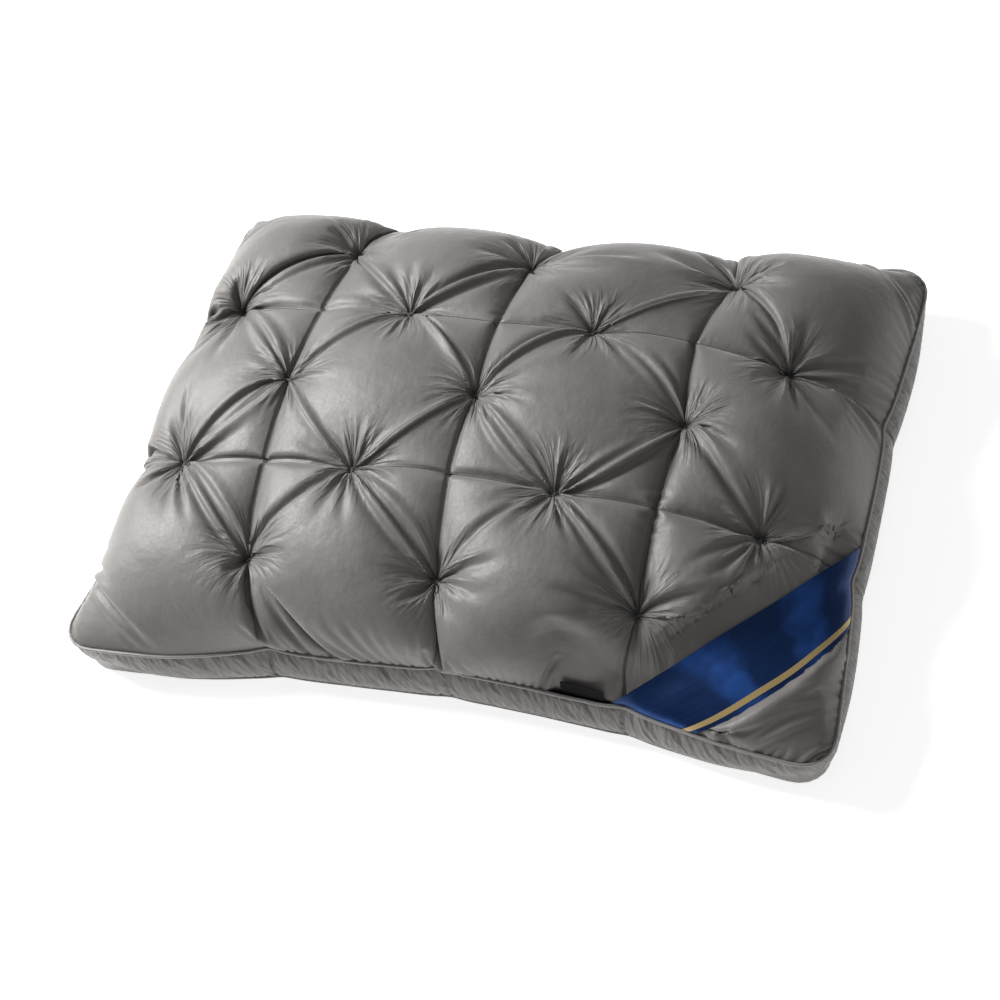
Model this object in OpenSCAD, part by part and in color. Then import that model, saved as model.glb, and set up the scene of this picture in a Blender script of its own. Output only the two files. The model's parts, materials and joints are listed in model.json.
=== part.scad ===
// Tufted bed pillow. Millimetres, +Z up, resting on z = 0, origin under its middle.
// +X runs along the pillow, and the ribbon and the label are at the front (-Y), towards +X.

/* [Overall size] */
// Length at the corners, over the middle of the piping
pillow_l = 690; // [560:10:900]
// Width at the corners, over the middle of the piping
pillow_w = 514; // [400:1:620]
// Corner radius in plan, at the piping
corner_r = 36; // [28:1:50]
// How far the filling pulls in the middle of the front side
front_pull = 38; // [0:1:45]
// How far it pulls in the middle of the back side
back_pull = 45; // [0:1:50]
// How far it pulls in the middle of the left end
left_pull = 40; // [0:1:45]
// How far it pulls in the middle of the right end, beside the ribbon
right_pull = 15; // [0:1:30]
// How far the back left corner is drawn in along each side
corner_tuck = 18; // [0:1:25]
// Height of the side band, from the lower piping to the upper piping
band_h = 48; // [36:1:80]
// How far the quilted top rises above the upper seam at its middle
crown_h = 96; // [60:1:130]

/* [Quilting] */
// How far each filled tile stands above its seams
tile_puff = 22; // [8:1:30]
// Thickness of the filling along a tile's edge
tile_edge = 2; // [1:0.5:5]
// Width of the sewn channel on each side of a quilting seam
channel_w = 4; // [3:0.5:8]
// How much deeper a tuft pulls the cloth than the seam beside it
tuft_depth = 5; // [0:0.5:12]
// How far that dimple spreads from its tuft
tuft_spread = 22; // [12:1:40]
// Radius of the knot that ties a tuft
knot_r = 1.2; // [0.8:0.1:1.6]

/* [Cloth and seams] */
// Thickness of the top and side cloth
cloth_t = 0.8; // [0.4:0.1:1.5]
// Thickness of the backing cloth under the tiles
lining_t = 0.6; // [0.3:0.1:1.2]
// Width of the cloth turned inside at each piped seam
seam_allowance = 8; // [6:0.5:12]
// Diameter of the piping, cover included
piping_d = 3.2; // [2.8:0.1:6]
// Diameter of the cord inside the piping
cord_d = 2.2; // [1.4:0.1:2.4]
// Thickness of the piping's sewn tail
piping_tail_t = 1.4; // [1.3:0.1:2]
// Diameter of the sewing thread
thread_d = 0.6; // [0.4:0.1:0.8]
// Free space kept between pieces that are sewn or laid together
fit_gap = 0.3; // [0.2:0.05:0.4]

/* [Ribbon] */
// Width of the corner ribbon
ribbon_w = 58; // [30:1:80]
// Thickness of the ribbon
ribbon_t = 0.5; // [0.3:0.1:1]
// From the corner to the ribbon's inner edge, along the front seam
ribbon_front = 188; // [150:1:230]
// From the corner to the ribbon's inner edge, along the end seam
ribbon_side = 209; // [150:1:230]
// Width of the gold stripe
stripe_w = 6; // [3:0.5:12]
// Width of the plain margin outside the stripe
stripe_margin = 6; // [2:0.5:12]
// Thickness of the gold stripe
stripe_t = 0.3; // [0.2:0.1:0.6]

/* [Label] */
// Width of the label along the seam
label_w = 38; // [20:1:50]
// Length of the label's free flap
label_h = 12; // [8:0.5:20]
// Thickness of the folded label
label_t = 0.6; // [0.4:0.1:0.8]
// From the corner to the middle of the label, along the front seam
label_from_corner = 213; // [210:1:300]
// Slope of the resting flap, measured from level
label_lean = 75; // [70:1:90]
// Height of the flap's fold above the top of the piping
label_rise = 1.4; // [1.2:0.1:3]

/* [Hidden] */
COLS = 4;            // tiles along the pillow
ROWS = 3;            // tiles across it
STEPS = 4;           // facets along a tile, an even number so that a tuft has a point of its own
PER_TILE = STEPS + 2;
CROWN_POWER_X = 2.7; // the crown stays full until near the ends
CROWN_POWER_Y = 2.1; // and falls away more evenly towards the long seams
RUN_STEPS = 14;      // facets along each side of the outline
CORNER_STEPS = 6;    // facets round each corner
COVER_STEPS = 3;     // facets round each half of the piping's cover
CORD_SIDES = 8;      // facets round a cord
$fn = 48;

piping_r = piping_d / 2;
thread_r = thread_d / 2;
lower_seam_z = piping_r + fit_gap;
upper_seam_z = lower_seam_z + band_h;
wall_inset = piping_r + fit_gap;                    // band wall behind the piping
panel_inset = piping_r + label_t + 4 * fit_gap;     // leaves the label its slot
tail_end = wall_inset + seam_allowance;
lining_z = upper_seam_z + piping_tail_t / 2 + fit_gap + lining_t;
thread_rise = 1.6;                                  // keeps the thread clear of the channel's walls
upper_thread_rise = thread_rise + thread_d + fit_gap;
knot_rise = upper_thread_rise + thread_rise + knot_r;
ribbon_rise = upper_thread_rise + thread_r + fit_gap;

// Half sizes of the quilted top
half_x = pillow_l / 2 - panel_inset;
half_y = pillow_w / 2 - panel_inset;
margin_w = tail_end - panel_inset + 2;              // unfilled edge over the seam's tails

slate = "#75726f";
slate_dark = "#55524f";

function tile_name(r, c) = str("tile_fill_", r, "_", c);

// ---- The quilting grid -------------------------------------------------------------

function pitch(half, count) = 2 * half / count;
function tile_mid(half, count, k) = -half + (k + 0.5) * pitch(half, count);
function tile_edge_lo(half, count, k) =
    -half + k * pitch(half, count) + (k == 0 ? margin_w : channel_w);
function tile_edge_hi(half, count, k) =
    -half + (k + 1) * pitch(half, count) - (k == count - 1 ? margin_w : channel_w);
function mix(a, b, t) = a + (b - a) * t;
function tile_line(half, count, k, i) =
    i <= STEPS / 2
        ? mix(tile_edge_lo(half, count, k), tile_mid(half, count, k), i / (STEPS / 2))
        : mix(tile_mid(half, count, k), tile_edge_hi(half, count, k), i / (STEPS / 2) - 1);
function grid_lines(half, count) = concat(
    [for (k = [0 : count - 1])
        each concat([-half + k * pitch(half, count)],
                    [for (i = [0 : STEPS]) tile_line(half, count, k, i)])],
    [half]);

gx = grid_lines(half_x, COLS);
gy = grid_lines(half_y, ROWS);
NX = COLS * PER_TILE;
NY = ROWS * PER_TILE;

// Tufts sit halfway between crossings: on the cross seams, then on the lengthwise seams
tufts = concat(
    [for (k = [1 : COLS - 1], r = [0 : ROWS - 1]) [k * PER_TILE, r * PER_TILE + 1 + STEPS / 2]],
    [for (k = [1 : ROWS - 1], c = [0 : COLS - 1]) [c * PER_TILE + 1 + STEPS / 2, k * PER_TILE]]);

// Place across one tile, -1 to 1
function across(p, half, count) =
    let (k = min(count - 1, max(0, floor((p + half) / pitch(half, count)))))
    max(-1, min(1, (p - tile_mid(half, count, k)) / (pitch(half, count) / 2)));
function on_seam(i, j) = i % PER_TILE == 0 || j % PER_TILE == 0;
function bell(d) = exp(-d * d / (2 * tuft_spread * tuft_spread));

function crown(x, y) =
    crown_h * (1 - pow(abs(x) / half_x, CROWN_POWER_X)) * (1 - pow(abs(y) / half_y, CROWN_POWER_Y));
function dimples(x, y) =
    tuft_depth * max([for (t = tufts) bell(norm([x - gx[t[0]], y - gy[t[1]]]))]);
function puff(i, j) =
    let (s = across(gx[i], half_x, COLS), t = across(gy[j], half_y, ROWS))
    tile_puff * sqrt((1 - s * s) * (1 - t * t));
function edge_fade(x, y) =
    min(1, (half_x - abs(x)) / margin_w, (half_y - abs(y)) / margin_w);

// The layers of the quilted top, bottom to top, at grid point i, j
function lining_top(i, j) =
    lining_z + crown(gx[i], gy[j]) - dimples(gx[i], gy[j]) * edge_fade(gx[i], gy[j]);
function lining_under(i, j) = lining_top(i, j) - lining_t;
function fill_under(i, j) = lining_top(i, j) + fit_gap;
function fill_top(i, j) = fill_under(i, j) + tile_edge + puff(i, j);
function face_under(i, j) = on_seam(i, j) ? fill_under(i, j) : fill_top(i, j) + fit_gap;
function face_top(i, j) = face_under(i, j) + cloth_t;

// Draws a point in between the corners, as the filling does. The outermost strip moves as one.
function drawn_in(p) =
    let (l = pillow_l / 2, w = pillow_w / 2, x = p[0], y = p[1],
         end_pull = x < 0 ? left_pull : right_pull,
         side_pull = y < 0 ? front_pull : back_pull,
         tuck = corner_tuck * pow(max(0, -x / l) * max(0, y / w), 2))
    [x + tuck - sign(x) * end_pull * (1 - pow(y / w, 2)) * min(1, abs(x) / (l - corner_r)),
     y - tuck - sign(y) * side_pull * (1 - pow(x / l, 2)) * min(1, abs(y) / (w - corner_r))];

// Bends the grid's square corner into a round one
function rounded(x, y) =
    let (r = corner_r - panel_inset,
         p = (abs(x) - half_x + r) / r,
         q = (abs(y) - half_y + r) / r)
    p <= 0 || q <= 0 ? [x, y]
        : let (m = max(p, q),
               a = 45 * min(p, q) / m,
               u = p >= q ? m * cos(a) : m * sin(a),
               v = p >= q ? m * sin(a) : m * cos(a))
          [sign(x) * (half_x - r + r * u), sign(y) * (half_y - r + r * v)];
function at(i, j, z) = let (p = drawn_in(rounded(gx[i], gy[j]))) [p[0], p[1], z];

// ---- Solids on the grid --------------------------------------------------------------

// The grid's rim, anticlockwise from above
function rim(i0, i1, j0, j1) = concat(
    [for (i = [i0 : i1 - 1]) [i, j0]], [for (j = [j0 : j1 - 1]) [i1, j]],
    [for (i = [i1 : -1 : i0 + 1]) [i, j1]], [for (j = [j1 : -1 : j0 + 1]) [i0, j]]);

function upper_faces(i0, i1, j0, j1) =
    let (w = j1 - j0 + 1)
    [for (i = [0 : i1 - i0 - 1], j = [0 : j1 - j0 - 1])
        each let (a = i * w + j) [[a, a + 1, a + w + 1], [a, a + w + 1, a + w]]];

// A sheet between two surfaces of the grid
module sheet(i0, i1, j0, j1, low, high) {
    w = j1 - j0 + 1;
    n = (i1 - i0 + 1) * w;
    edge = rim(i0, i1, j0, j1);
    top = upper_faces(i0, i1, j0, j1);
    polyhedron(
        points = concat([for (i = [i0 : i1], j = [j0 : j1]) at(i, j, high(i, j))],
                        [for (i = [i0 : i1], j = [j0 : j1]) at(i, j, low(i, j))]),
        faces = concat(top, [for (f = top) [f[2] + n, f[1] + n, f[0] + n]],
            [for (k = [0 : len(edge) - 1])
                each let (e = edge[k],
                          f = edge[(k + 1) % len(edge)],
                          a = (e[0] - i0) * w + e[1] - j0,
                          b = (f[0] - i0) * w + f[1] - j0)
                     [[a, b, b + n], [a, b + n, a + n]]]),
        convexity = 8);
}

// A block from a flat base up to a surface of the grid
module block(i0, i1, j0, j1, base_z, high) {
    w = j1 - j0 + 1;
    n = (i1 - i0 + 1) * w;
    edge = rim(i0, i1, j0, j1);
    m = len(edge);
    polyhedron(
        points = concat([for (i = [i0 : i1], j = [j0 : j1]) at(i, j, high(i, j))],
                        [for (e = edge) at(e[0], e[1], base_z)]),
        faces = concat(upper_faces(i0, i1, j0, j1), [[for (k = [0 : m - 1]) n + k]],
            [for (k = [0 : m - 1])
                each let (e = edge[k],
                          f = edge[(k + 1) % m],
                          a = (e[0] - i0) * w + e[1] - j0,
                          b = (f[0] - i0) * w + f[1] - j0)
                     [[a, b, n + (k + 1) % m], [a, n + (k + 1) % m, n + k]]]),
        convexity = 8);
}

// A four-sided thread along a list of points, opened out along side and up
module thread(path, side) {
    r = thread_r;
    ring = [side * r, [0, 0, r], -side * r, [0, 0, -r]];
    m = len(path) - 1;
    polyhedron(
        points = [for (p = path, o = ring) p + o],
        faces = concat([[0, 1, 2, 3]], [[4 * m + 3, 4 * m + 2, 4 * m + 1, 4 * m]],
            [for (k = [0 : m - 1], s = [0 : 3])
                each let (a = 4 * k + s, b = 4 * k + (s + 1) % 4)
                     [[b, a, a + 4], [b, a + 4, b + 4]]]),
        convexity = 4);
}

// ---- Solids that follow the outline -----------------------------------------------------

// A straight run of the outline that leaves out its last point, and a quarter of a corner
function run(from, to) = [for (k = [0 : RUN_STEPS - 1]) mix(from, to, k / RUN_STEPS)];
function corner(centre, r, start) =
    [for (k = [0 : CORNER_STEPS - 1])
        let (a = start + 90 * k / CORNER_STEPS) centre + r * [cos(a), sin(a)]];

// The pillow's outline, moved in by inset, anticlockwise from above
function outline_points(inset) =
    let (l = pillow_l / 2 - inset, w = pillow_w / 2 - inset, r = corner_r - inset,
         a = l - r, b = w - r)
    [for (p = concat(run([-a, -w], [a, -w]), corner([a, -b], r, -90),
                     run([l, -b], [l, b]), corner([a, b], r, 0),
                     run([a, w], [-a, w]), corner([-a, b], r, 90),
                     run([-l, b], [-l, -b]), corner([-a, -b], r, 180)))
        drawn_in(p)];

module outline(inset) {
    polygon(outline_points(inset));
}

module band(z, h, outer, inner) {
    translate([0, 0, z]) linear_extrude(h) difference() {
        outline(outer);
        outline(inner);
    }
}

// A closed skin swept along the outline. The profile's points are [outwards, up], anticlockwise.
module swept(z, inset, profile) {
    path = outline_points(inset);
    n = len(path);
    m = len(profile);
    out = [for (k = [0 : n - 1])
        let (d = path[(k + 1) % n] - path[(k + n - 1) % n]) [d[1], -d[0]] / norm(d)];
    polyhedron(
        points = [for (k = [0 : n - 1], q = profile)
            let (p = path[k] + out[k] * q[0]) [p[0], p[1], z + q[1]]],
        faces = [for (k = [0 : n - 1], s = [0 : m - 1])
            each let (a = k * m, b = (k + 1) % n * m, t = (s + 1) % m)
                 [[a + s, a + t, b + t], [a + s, b + t, b + s]]],
        convexity = 6);
}

// A round cord of radius r along the outline, moved in by inset
module cord_ring(z, r, inset, sides) {
    swept(z, inset, [for (k = [0 : sides - 1]) r * [cos(360 * k / sides), sin(360 * k / sides)]]);
}

// The piping's cover: a strip folded round the cord, its two layers of tail lying close together
module piping_cover(z) {
    bore = cord_d / 2 + fit_gap / 2;
    sleeve = function (r, t, way)
        [for (k = [-COVER_STEPS : COVER_STEPS])
            let (a = way * k * (180 - asin(t / r)) / COVER_STEPS) r * [cos(a), sin(a)]];
    swept(z, 0, concat([[-tail_end, -piping_tail_t / 2]],
                       sleeve(piping_r, piping_tail_t / 2, 1),
                       [[-tail_end, piping_tail_t / 2], [-tail_end, fit_gap / 2]],
                       sleeve(bore, fit_gap / 2, -1),
                       [[-tail_end, -fit_gap / 2]]));
}

// ---- Pieces -------------------------------------------------------------------------------

module bottom_panel() {
    color(slate_dark)
        linear_extrude(lower_seam_z - piping_tail_t / 2 - fit_gap) outline(panel_inset);
}

module gusset_band() {
    low = lower_seam_z + piping_tail_t / 2 + fit_gap;
    high = upper_seam_z - piping_tail_t / 2 - fit_gap;
    color(slate_dark) {
        band(low, high - low, wall_inset, wall_inset + cloth_t);
        band(low, cloth_t, wall_inset, tail_end);
        band(high - cloth_t, cloth_t, wall_inset, tail_end);
    }
}

module top_piping_cover() {
    color("#b9b7b4") difference() {
        piping_cover(upper_seam_z);
        // the slot where the label's foot is caught
        on_seam(upper_seam_z + piping_tail_t / 2 - label_t - fit_gap)
            translate([-label_w / 2 - fit_gap, -label_t / 2 - fit_gap, 0])
                cube([label_w + 2 * fit_gap, label_foot + 2 * fit_gap, piping_d]);
    }
}

module bottom_piping_cover() {
    color("#b9b7b4") piping_cover(lower_seam_z);
}

module top_piping_cord() {
    color("#dcdad6") cord_ring(upper_seam_z, cord_d / 2, 0, CORD_SIDES);
}

module bottom_piping_cord() {
    color("#dcdad6") cord_ring(lower_seam_z, cord_d / 2, 0, CORD_SIDES);
}

// The closing seams' threads run inside, against the band's turned edges
seam_thread_inset = tail_end - seam_allowance / 2;
seam_thread_gap = cloth_t + fit_gap + piping_tail_t / 2 + fit_gap + thread_r;

module top_seam_thread() {
    color(slate) cord_ring(upper_seam_z - seam_thread_gap, thread_r, seam_thread_inset, 4);
}

module bottom_seam_thread() {
    color(slate) cord_ring(lower_seam_z + seam_thread_gap, thread_r, seam_thread_inset, 4);
}

module core_fill() {
    base = lower_seam_z - piping_tail_t / 2;
    side_gap = seam_thread_gap + thread_r + fit_gap;
    color("#f2f0ea") {
        block(1, NX - 1, 1, NY - 1, base, function (i, j) lining_under(i, j) - fit_gap);
        translate([0, 0, lower_seam_z + side_gap])
            linear_extrude(band_h - 2 * side_gap) outline(wall_inset + cloth_t + fit_gap);
    }
}

module quilt_lining() {
    color("#e4e2dc")
        sheet(0, NX, 0, NY, function (i, j) lining_under(i, j), function (i, j) lining_top(i, j));
}

module tile_fill(r, c) {
    i = (c - 1) * PER_TILE + 1;
    j = (r - 1) * PER_TILE + 1;
    color("#f7f5f0")
        sheet(i, i + STEPS, j, j + STEPS,
              function (i, j) fill_under(i, j), function (i, j) fill_top(i, j));
}

module top_panel() {
    color(slate) sheet(0, NX, 0, NY, function (i, j) face_under(i, j), function (i, j) face_top(i, j));
}

// Cross seams are sewn first, and the lengthwise seams pass over them
module quilting_thread_v(k) {
    i = k * PER_TILE;
    color(slate_dark)
        thread([for (j = [1 : NY - 1]) at(i, j, face_top(i, j) + thread_rise)], [1, 0, 0]);
}

module quilting_thread_h(k) {
    j = k * PER_TILE;
    color(slate_dark)
        thread([for (i = [1 : NX - 1]) at(i, j, face_top(i, j) + upper_thread_rise)], [0, -1, 0]);
}

module tufting_ties() {
    color(slate_dark)
        for (t = tufts)
            translate(at(t[0], t[1], face_top(t[0], t[1]) + knot_rise)) sphere(knot_r);
}

// A strip across the front corner, from q0 to q1 measured from the ribbon's inner edge
module corner_strip(q0, q1, rise, thick) {
    front = drawn_in([half_x - ribbon_front, -half_y]);
    side = drawn_in([half_x, -half_y + ribbon_side]);
    along = (side - front) / norm(side - front);
    out = [along[1], -along[0]];
    from = front - along * corner_r;
    to = side + along * corner_r;
    i0 = max([for (i = [0 : NX]) if (gx[i] < half_x - ribbon_front - channel_w) i]);
    j1 = min([for (j = [0 : NY]) if (gy[j] > -half_y + ribbon_side + channel_w) j]);
    intersection() {
        sheet(i0, NX, 0, j1,
              function (i, j) face_top(i, j) + rise, function (i, j) face_top(i, j) + rise + thick);
        linear_extrude(2 * (upper_seam_z + crown_h + tile_puff))
            polygon([from + out * q0, from + out * q1, to + out * q1, to + out * q0]);
    }
}

module ribbon_band() {
    color("#1d3470") corner_strip(0, ribbon_w, ribbon_rise, ribbon_t);
}

module ribbon_stripe() {
    outer = ribbon_w - stripe_margin;
    color("#b3995a") corner_strip(outer - stripe_w, outer, ribbon_rise + ribbon_t + fit_gap, stripe_t);
}

// The label stands in the slot between the piping and the quilted top
label_x = pillow_l / 2 - label_from_corner;
label_seam = drawn_in([label_x, -pillow_w / 2]);
label_turn = -atan(2 * front_pull * label_x / pow(pillow_l / 2, 2));
label_inset = piping_r + 2 * fit_gap + label_t / 2;
label_foot = seam_allowance - 2;
label_fold_z = upper_seam_z + piping_r + label_rise;

// Sets the label's pieces square to the seam where it is sewn in
module on_seam(z) {
    translate([label_seam[0], label_seam[1], z]) rotate(label_turn) translate([0, label_inset, 0])
        children();
}

module label_root() {
    foot_z = upper_seam_z + piping_tail_t / 2 - label_t;
    neck_h = label_fold_z - label_t / 2 - fit_gap - foot_z;
    color("#151515") on_seam(foot_z) translate([-label_w / 2, -label_t / 2, 0]) {
        cube([label_w, label_t, neck_h]);
        cube([label_w, label_foot, label_t]);
    }
}

module side_label() {
    color("#151515") on_seam(label_fold_z) rotate([label_lean, 0, 0]) {
        rotate([0, 90, 0]) cylinder(h = label_w, r = label_t / 2, center = true);
        translate([-label_w / 2, 0, -label_t / 2]) cube([label_w, label_h, label_t]);
    }
}

bottom_panel();
gusset_band();
top_piping_cover();
top_piping_cord();
bottom_piping_cover();
bottom_piping_cord();
core_fill();
quilt_lining();
top_panel();
tufting_ties();
top_seam_thread();
bottom_seam_thread();
ribbon_band();
ribbon_stripe();
label_root();
side_label();
for (r = [1 : ROWS], c = [1 : COLS])
    tile_fill(r, c);
for (k = [1 : COLS - 1])
    quilting_thread_v(k);
for (k = [1 : ROWS - 1])
    quilting_thread_h(k);
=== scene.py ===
# %% [markdown]
# # A tufted bed pillow
# The pillow is a cloth box filled with loose fibre. Its top is quilted into twelve tiles and pinched
# down by seventeen tufts, so nearly all of its character is cloth under tension. This lesson cuts the
# cloth flat, sews it to the outline, blows it up with the filling's push and lets the creases form.

import json
import math

import bpy
import numpy as np
from mathutils import Matrix, Vector


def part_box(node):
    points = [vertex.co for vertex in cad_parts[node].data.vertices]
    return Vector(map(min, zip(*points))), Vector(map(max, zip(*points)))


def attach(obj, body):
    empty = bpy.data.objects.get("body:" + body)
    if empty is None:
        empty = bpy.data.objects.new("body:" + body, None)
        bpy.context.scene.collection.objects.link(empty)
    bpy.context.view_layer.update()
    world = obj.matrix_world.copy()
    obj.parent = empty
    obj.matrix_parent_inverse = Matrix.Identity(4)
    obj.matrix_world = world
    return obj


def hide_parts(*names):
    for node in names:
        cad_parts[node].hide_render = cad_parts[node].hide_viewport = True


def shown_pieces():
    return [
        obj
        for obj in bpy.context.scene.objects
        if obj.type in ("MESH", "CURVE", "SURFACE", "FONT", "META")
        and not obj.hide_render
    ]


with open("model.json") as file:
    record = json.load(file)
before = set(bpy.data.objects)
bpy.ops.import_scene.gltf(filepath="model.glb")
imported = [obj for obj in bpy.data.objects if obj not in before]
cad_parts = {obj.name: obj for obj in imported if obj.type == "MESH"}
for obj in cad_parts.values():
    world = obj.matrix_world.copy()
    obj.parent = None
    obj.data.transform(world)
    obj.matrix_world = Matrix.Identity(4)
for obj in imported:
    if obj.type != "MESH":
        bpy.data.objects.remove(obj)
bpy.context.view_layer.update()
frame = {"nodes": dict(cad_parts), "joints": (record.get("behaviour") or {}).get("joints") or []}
scene = bpy.context.scene
MM = 0.001

# %% [markdown]
# ## The outline
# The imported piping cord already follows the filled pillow's edge: pointed at the corners and drawn in
# between them. Its top edge, seen from above, is the line that every cloth piece is sewn to.

# %% Read the outline
def span(node):
    """A node's lowest and highest corner, in millimetres."""
    low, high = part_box(node)
    return np.array(low) / MM, np.array(high) / MM


def ring_line(node):
    """The line that a ring-shaped node follows, anticlockwise from the left."""
    points = np.array([v.co for v in frame["nodes"][node].data.vertices]) / MM
    crest = points[points[:, 2] > points[:, 2].max() - 0.01]
    crest = np.unique(np.round(crest[:, :2], 2), axis=0)
    return crest[np.argsort(np.arctan2(crest[:, 1], crest[:, 0]))]


cover_low, cover_high = span("top_piping_cover")
lower_low, lower_high = span("bottom_piping_cover")
upper_z = (cover_low[2] + cover_high[2]) / 2
lower_z = (lower_low[2] + lower_high[2]) / 2
piping_r = (cover_high[2] - cover_low[2]) / 2
sewn_line = ring_line("top_piping_cord")
half_l, half_w = np.abs(sewn_line).max(0)
# where each side starts: front, right, back, left
reach = [sx * sewn_line[:, 0] / half_l + sy * sewn_line[:, 1] / half_w
         for sx, sy in ((-1, -1), (1, -1), (1, 1), (-1, 1))]
corner_at = [int(np.argmax(r)) for r in reach]
sides = []
for here, after in zip(corner_at, corner_at[1:] + corner_at[:1]):
    steps = (after - here) % len(sewn_line)
    sides.append(sewn_line[(here + np.arange(steps + 1)) % len(sewn_line)])
print("outline", np.round(2 * half_l), "x", np.round(2 * half_w), "mm, upper seam at", np.round(upper_z, 1))

# %% [markdown]
# ## Where the seams meet the edge
# Each quilting seam tugs the edge in a little where it ends, and each tile pushes the edge out between
# two seams. The front left tile is the fullest. Sides are numbered front, right, back, left, and the
# seams' ends are shares of the side's length. The back and the left edge are tugged in the most.

# %% Sewing plan
COLUMNS, ROWS = 4, 3
SEAM_ENDS = ((0.278, 0.509, 0.748), (0.34, 0.66), (0.25, 0.5, 0.75), (0.34, 0.66))
SWELL = ((10, 3, 1, 5), (2, 2.5, 3), (5, 4, 4, 5), (3, 3, 4))
TUG = (2.5, 2.5, 9.0, 14.0)
TUG_WIDTH = (13, 13, 20, 22)


LOWER_TUG = 0.55
CORNER_TUCK = 16.0
TUCK_LENGTH = 60


def along_side(side, share, tugged=1.0):
    """Points on the piping's line at shares of a side's length, with the tiles' swell and the tugs.

    The lower edge is tugged less, and its corners are tucked under."""
    line = sides[side]
    steps = np.hypot(*np.diff(line, axis=0).T)
    run = np.r_[0, np.cumsum(steps)]
    at = share * run[-1]
    point = np.stack([np.interp(at, run, line[:, k]) for k in (0, 1)], -1)
    ahead = np.stack([np.interp(at + 2, run, line[:, k]) - np.interp(at - 2, run, line[:, k])
                      for k in (0, 1)], -1)
    out = np.stack([ahead[:, 1], -ahead[:, 0]], -1)
    out /= np.hypot(*out.T)[:, None]
    knots = np.r_[0, SEAM_ENDS[side], 1]
    phase = np.interp(share, knots, np.arange(len(knots)))
    tile = np.clip(phase.astype(int), 0, len(knots) - 2)
    push = np.array(SWELL[side])[tile] * np.abs(np.sin(math.pi * phase)) ** 1.2
    for end in SEAM_ENDS[side]:
        push = push - TUG[side] * np.exp(-((share - end) * run[-1] / TUG_WIDTH[side]) ** 2)
    if tugged < 1:
        from_corner = np.minimum(share, 1 - share) * run[-1]
        push = push * tugged - CORNER_TUCK * np.exp(-(from_corner / TUCK_LENGTH) ** 2)
    return point + out * push[:, None], out


def shares(side, cells):
    """Shares of a side's length for a grid whose seams land on the seams' ends."""
    knots = np.r_[0, SEAM_ENDS[side], 1]
    return np.interp(np.linspace(0, len(knots) - 1, cells + 1), np.arange(len(knots)), knots)


def whole_line(count, tugged=1.0):
    """The piping's whole line as (points, outward directions), evenly numbered side by side."""
    per = count // 4
    both = [along_side(k, np.arange(per) / per, tugged) for k in range(4)]
    return np.concatenate([b[0] for b in both]), np.concatenate([b[1] for b in both])


# %% [markdown]
# ## The filling's dome
# Under the cloth the fibre makes one long dome, steep at the edges. The tufts are tied down to it.

# %% Dome and tuft places
CROWN = 96
DOME_L, DOME_W = half_l * 1.072, half_w * 1.05
DOME_POWER_L, DOME_POWER_W = 2.68, 2.06
SEAMS_X = half_l * np.array([-1, -0.509, 0, 0.509, 1])
SEAMS_Y = half_w * np.array([-1, -0.329, 0.329, 1])
TUFT_SEED = 76418
TUFT_WANDER = 4.0
HAND = np.random.default_rng(TUFT_SEED).normal(0, TUFT_WANDER, (17, 2))


def dome(x, y):
    """Height of the filling's own surface."""
    over_l = 1 - np.minimum(1, np.abs(x) / DOME_L) ** DOME_POWER_L
    over_w = 1 - np.minimum(1, np.abs(y) / DOME_W) ** DOME_POWER_W
    return upper_z + CROWN * over_l * over_w


# a tuft is (grid column, grid row) in half tiles, and its place seen from above
tuft_cells = [(2 * c, 2 * r + 1) for c in range(1, COLUMNS) for r in range(ROWS)]
tuft_cells += [(2 * c + 1, 2 * r) for r in range(1, ROWS) for c in range(COLUMNS)]
half_x = np.sort(np.r_[SEAMS_X, (SEAMS_X[1:] + SEAMS_X[:-1]) / 2])
half_y = np.sort(np.r_[SEAMS_Y, (SEAMS_Y[1:] + SEAMS_Y[:-1]) / 2])
tuft_xy = np.array([(half_x[i], half_y[j]) for i, j in tuft_cells]) + HAND
# three tufts near the edge were tied further out than the rest
for cell, shift in (((1, 2), (-8, 0)), ((1, 4), (-13, 4)), ((6, 5), (14, 3))):
    tuft_xy[tuft_cells.index(cell)] += shift
print("tufts", len(tuft_cells), "dome top", np.round(dome(0, 0), 1))

# %% [markdown]
# ## Heights on a grid
# Pieces rest on each other by asking how high something is at a place seen from above. The first such
# grid is the filling: the dome with a cushion in each tile, thinning out towards the sewn edge.

# %% Height grids
GRID = 2.5
GRID_MARGIN = 20


class Relief:
    """Heights on a square grid seen from above."""

    def __init__(self, points, low_wins=False):
        self.low = np.array([-half_l - GRID_MARGIN, -half_w - GRID_MARGIN])
        shape = (np.ceil(-2 * self.low / GRID).astype(int) + 1)[::-1]
        self.z = np.full(shape, 1e3 if low_wins else -1e3)
        i = np.round((points[0].ravel() - self.low[0]) / GRID).astype(int)
        j = np.round((points[1].ravel() - self.low[1]) / GRID).astype(int)
        pick = np.minimum if low_wins else np.maximum
        pick.at(self.z, (j, i), points[2].ravel())

    def spread(self, times, slope):
        """Lets each height reach its neighbours: down a slope, or up one where low heights win."""
        for _ in range(times):
            z = self.z.copy()
            for dj, di in ((1, 0), (-1, 0), (0, 1), (0, -1)):
                moved = np.roll(self.z, (dj, di), (0, 1)) + slope * GRID
                z = np.minimum(z, moved) if slope > 0 else np.maximum(z, moved)
            self.z = z
        return self

    def __call__(self, x, y):
        a = np.clip((x - self.low[0]) / GRID, 0, self.z.shape[1] - 1.001)
        b = np.clip((y - self.low[1]) / GRID, 0, self.z.shape[0] - 1.001)
        i, j = a.astype(int), b.astype(int)
        a, b = a - i, b - j
        z = self.z
        return ((z[j, i] * (1 - a) + z[j, i + 1] * a) * (1 - b)
                + (z[j + 1, i] * (1 - a) + z[j + 1, i + 1] * a) * b)


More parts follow.
